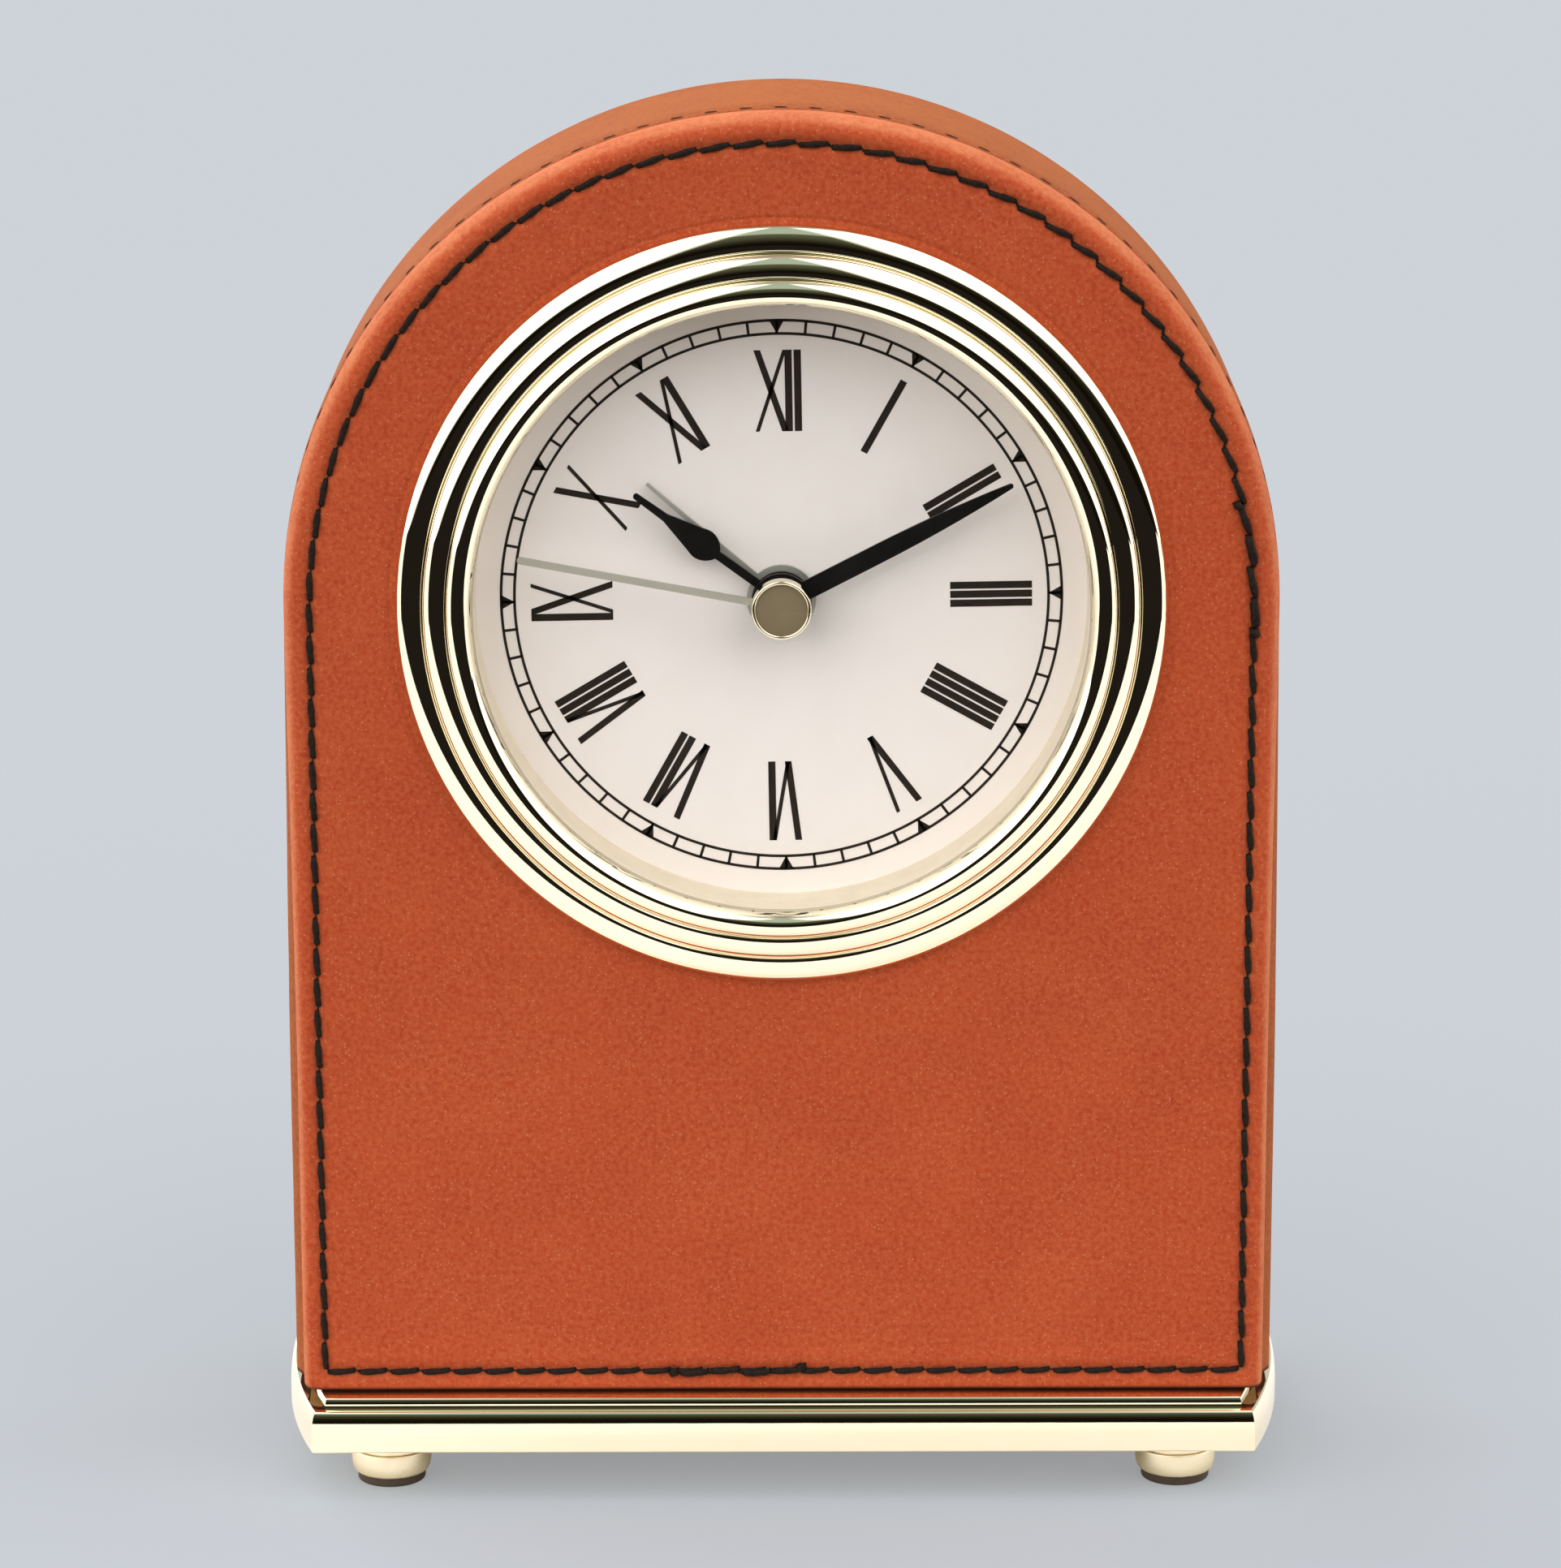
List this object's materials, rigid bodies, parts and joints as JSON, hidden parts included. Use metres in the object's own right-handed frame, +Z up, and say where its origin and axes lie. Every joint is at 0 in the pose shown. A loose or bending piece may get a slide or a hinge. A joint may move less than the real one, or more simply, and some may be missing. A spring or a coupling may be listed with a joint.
{
  "type": "arched desk clock",
  "caption": "Arched desk clock: leather-covered case with a round gold-rimmed dial insert, on a stepped gold base plate with small feet; quartz movement with alarm.",
  "frame": {"origin": "on the table, under the middle of the base plate", "axes": "+Z up, the dial looks towards -Y, +X to the right seen from the front"},
  "size_m": [0.1114, 0.0516, 0.1524],
  "materials": {
    "front_leather": "rust red nubuck",
    "side_leather": "rust red nubuck, lighter",
    "core_board": "raw fibreboard",
    "back_felt": "black felt on board",
    "polished_gold": "polished plating",
    "satin_gold": "satin plating",
    "pad_rubber": "matt",
    "clear_crystal": "clear domed",
    "cream_reflector": "cream gold",
    "dial_face": "satin pale",
    "black_hand": "satin black",
    "pale_hand": "pale gold",
    "silver_hand": "satin silver",
    "cap_metal": "gold rim, matt face",
    "black_plastic": "moulded",
    "wheel_plastic": "natural moulding",
    "grip_rubber": "ribbed",
    "steel": "bright",
    "magnet": "dark sinter",
    "copper_coil": "enamelled wire",
    "board_green": "laminate",
    "chip_black": "epoxy",
    "battery_jacket": "printed sleeve, plain",
    "buzzer_brass": "thin disc"
  },
  "bodies": {
    "case": {"case_core": "core_board", "front_leather": "front_leather", "side_leather": "side_leather", "back_board": "back_felt", "base_plate": "polished_gold", "case_screws": "steel", "insert_cup": "black_plastic", "grip_ring": "grip_rubber", "bezel": "polished_gold", "crystal": "clear_crystal", "reflector_ring": "cream_reflector", "dial": "dial_face", "train_bridge": "black_plastic", "stator": "steel", "coil": "copper_coil", "movement_screws": "steel", "circuit_board": "board_green", "circuit_chip": "chip_black", "quartz_can": "steel", "rear_cover": "black_plastic", "battery": "battery_jacket", "buzzer": "buzzer_brass", "contact_positive": "steel", "contact_negative": "steel", "foot_front_left": "satin_gold", "foot_pad_front_left": "pad_rubber", "foot_front_right": "satin_gold", "foot_pad_front_right": "pad_rubber", "foot_rear_left": "satin_gold", "foot_pad_rear_left": "pad_rubber", "foot_rear_right": "satin_gold", "foot_pad_rear_right": "pad_rubber"},
    "battery_door": {"battery_cover": "black_plastic"},
    "seconds": {"seconds_wheel": "wheel_plastic", "second_hand": "pale_hand", "hand_cap": "cap_metal"},
    "rotor": {"rotor": "magnet"},
    "step": {"step_wheel": "wheel_plastic"},
    "third": {"third_wheel": "wheel_plastic"},
    "centre": {"centre_wheel": "wheel_plastic"},
    "minutes": {"cannon_pinion": "wheel_plastic", "minute_hand": "black_hand"},
    "motion": {"motion_wheel": "wheel_plastic"},
    "hours": {"hour_wheel": "wheel_plastic", "hour_hand": "black_hand"},
    "hand_setting": {"set_knob": "black_plastic"},
    "alarm": {"alarm_wheel": "wheel_plastic", "alarm_hand": "silver_hand"},
    "alarm_setting": {"alarm_knob": "black_plastic"},
    "alarm_slider": {"alarm_switch": "black_plastic"}
  },
  "joints": [
    {"name": "second_hand_spin", "type": "hinge", "parent": "case", "child": "seconds", "pos_m": [0, -0.0116, 0.0995], "axis": [0, 1, 0], "continuous": true},
    {"name": "rotor_spin", "type": "hinge", "parent": "case", "child": "rotor", "pos_m": [-0.01386, -0.0116, 0.09446], "axis": [0, 1, 0], "continuous": true},
    {"name": "step_wheel_spin", "type": "hinge", "parent": "case", "child": "step", "pos_m": [-0.00822, -0.0116, 0.09651], "axis": [0, 1, 0], "continuous": true},
    {"name": "third_wheel_spin", "type": "hinge", "parent": "case", "child": "third", "pos_m": [-0.00148, -0.0116, 0.10787], "axis": [0, 1, 0], "continuous": true},
    {"name": "centre_wheel_spin", "type": "hinge", "parent": "case", "child": "centre", "pos_m": [0, -0.0116, 0.0995], "axis": [0, 1, 0], "continuous": true},
    {"name": "minute_hand_spin", "type": "hinge", "parent": "case", "child": "minutes", "pos_m": [0, -0.0116, 0.0995], "axis": [0, 1, 0], "continuous": true},
    {"name": "motion_wheel_spin", "type": "hinge", "parent": "case", "child": "motion", "pos_m": [0.00613, -0.0116, 0.10464], "axis": [0, 1, 0], "continuous": true},
    {"name": "hour_hand_spin", "type": "hinge", "parent": "case", "child": "hours", "pos_m": [0, -0.0116, 0.0995], "axis": [0, 1, 0], "continuous": true},
    {"name": "set_knob_spin", "type": "hinge", "parent": "case", "child": "hand_setting", "pos_m": [0.01365, -0.0116, 0.10738], "axis": [0, 1, 0], "continuous": true},
    {"name": "alarm_hand_spin", "type": "hinge", "parent": "case", "child": "alarm", "pos_m": [0, -0.0116, 0.0995], "axis": [0, 1, 0], "continuous": true},
    {"name": "alarm_knob_spin", "type": "hinge", "parent": "case", "child": "alarm_setting", "pos_m": [-0.0094, -0.0116, 0.10292], "axis": [0, 1, 0], "continuous": true},
    {"name": "alarm_switch_slide", "type": "slide", "parent": "case", "child": "alarm_slider", "axis": [1, 0, 0], "range_m": [0, 0.004]},
    {"name": "battery_cover_pull", "type": "slide", "parent": "case", "child": "battery_door", "axis": [0, 1, 0], "range_m": [0, 0.012]}
  ],
  "couplings": [
    {"joint": "rotor_spin", "follows": "second_hand_spin", "ratio": 30},
    {"joint": "step_wheel_spin", "follows": "second_hand_spin", "ratio": -6},
    {"joint": "third_wheel_spin", "follows": "second_hand_spin", "ratio": -0.13333},
    {"joint": "centre_wheel_spin", "follows": "second_hand_spin", "ratio": 0.016667},
    {"joint": "motion_wheel_spin", "follows": "minute_hand_spin", "ratio": -0.33333},
    {"joint": "hour_hand_spin", "follows": "minute_hand_spin", "ratio": 0.083333},
    {"joint": "set_knob_spin", "follows": "minute_hand_spin", "ratio": 1},
    {"joint": "alarm_knob_spin", "follows": "alarm_hand_spin", "ratio": -1.7778}
  ]
}
